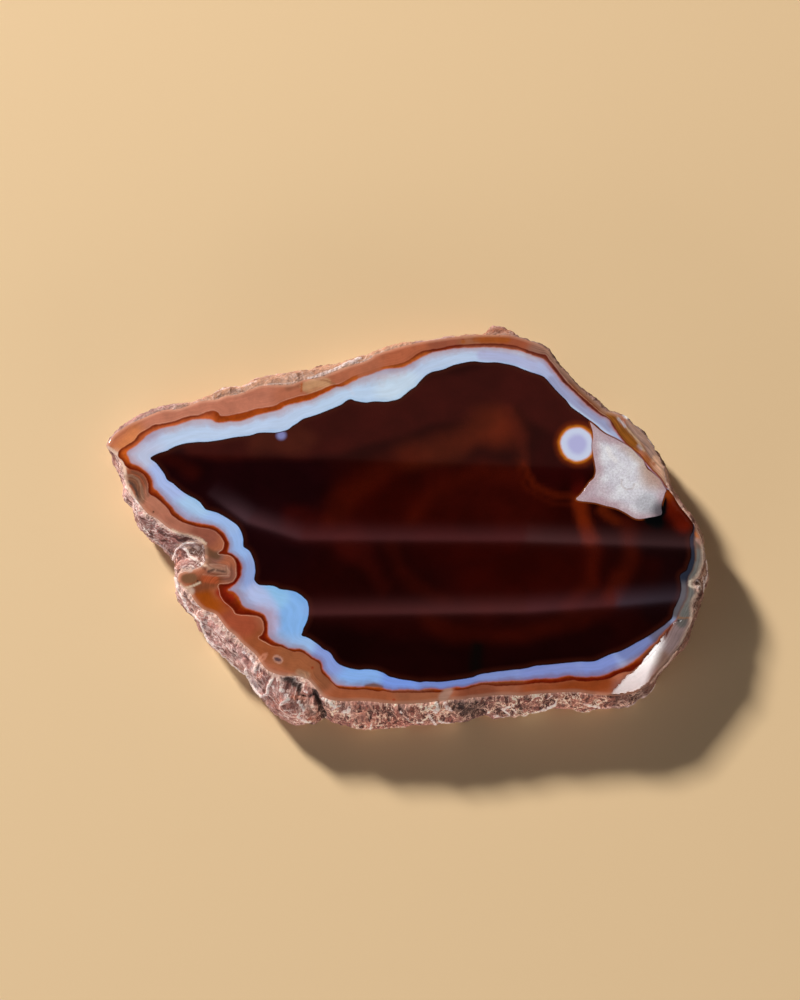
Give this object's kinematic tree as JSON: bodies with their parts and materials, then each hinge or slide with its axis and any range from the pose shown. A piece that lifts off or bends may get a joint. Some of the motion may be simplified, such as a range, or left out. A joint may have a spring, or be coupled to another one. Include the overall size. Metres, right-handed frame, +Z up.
{
  "type": "agate slice",
  "caption": "Thick polished slice of banded agate with a near-black centre, a pale blue-white band, a quartz patch and rough natural bark round its rim.",
  "frame": {"origin": "middle of the bounding box of the slice, on the sawn base", "axes": "+X along the length, from the pointed tip towards the blunt end; +Y across the face, towards the straight upper edge; +Z up out of the polished face"},
  "size_m": [0.1512, 0.1068, 0.012],
  "materials": {
    "agate_slice": "polished banded face, rough matt bark, sawn base"
  },
  "bodies": {
    "root": {"agate_slice": "agate_slice"}
  },
  "joints": []
}
